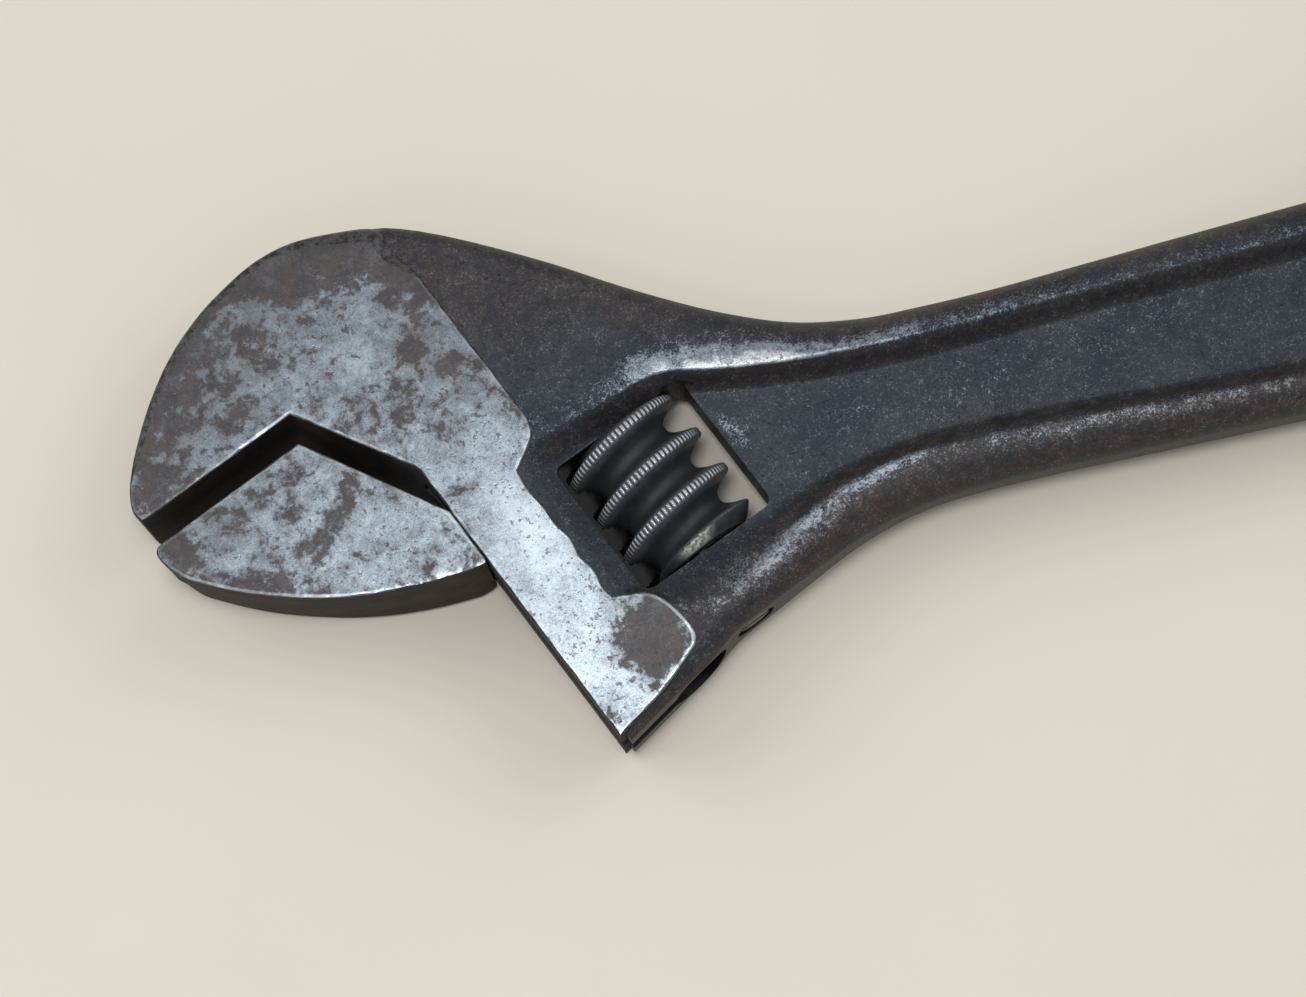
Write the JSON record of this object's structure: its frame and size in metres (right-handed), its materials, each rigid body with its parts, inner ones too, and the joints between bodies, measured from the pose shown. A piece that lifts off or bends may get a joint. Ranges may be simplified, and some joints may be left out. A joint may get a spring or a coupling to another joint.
{
  "type": "adjustable wrench",
  "caption": "Adjustable wrench with an angled head, a sliding jaw driven by a threaded knurl, and a ribbed handle with a hanging hole.",
  "frame": {"origin": "middle of the fixed jaw's flat face, at half the head's thickness", "axes": "+X along the handle from the head to the hanging hole, +Z through the thickness, normal to the head's ground faces; the jaws open 22.5 degrees off -Y"},
  "size_m": [0.254, 0.0654, 0.0164],
  "materials": {
    "forged_steel": "worn black oxide on the forged handle, bare ground faces on the head with brown patina",
    "ground_steel": "bare ground steel with brown patina",
    "black_steel": "black oxide, crests worn bright",
    "pin_steel": "dull",
    "spring_steel": "dull"
  },
  "bodies": {
    "body": {"body": "forged_steel", "knurl_pin": "pin_steel", "knurl_spring": "spring_steel"},
    "knurl": {"knurl": "black_steel"},
    "jaw": {"sliding_jaw": "ground_steel"}
  },
  "joints": [
    {"name": "knurl_spin", "type": "hinge", "parent": "body", "child": "knurl", "pos_m": [0.04777, -0.01447, 0], "axis": [-0.3827, 0.9239, 0], "range_deg": [-220, 1710]},
    {"name": "jaw_slide", "type": "slide", "parent": "body", "child": "jaw", "axis": [0.3827, -0.9239, 0], "range_m": [-0.0032, 0.0246]}
  ],
  "couplings": [
    {"joint": "jaw_slide", "follows": "knurl_spin", "m_per_rad": 0.00081965}
  ]
}
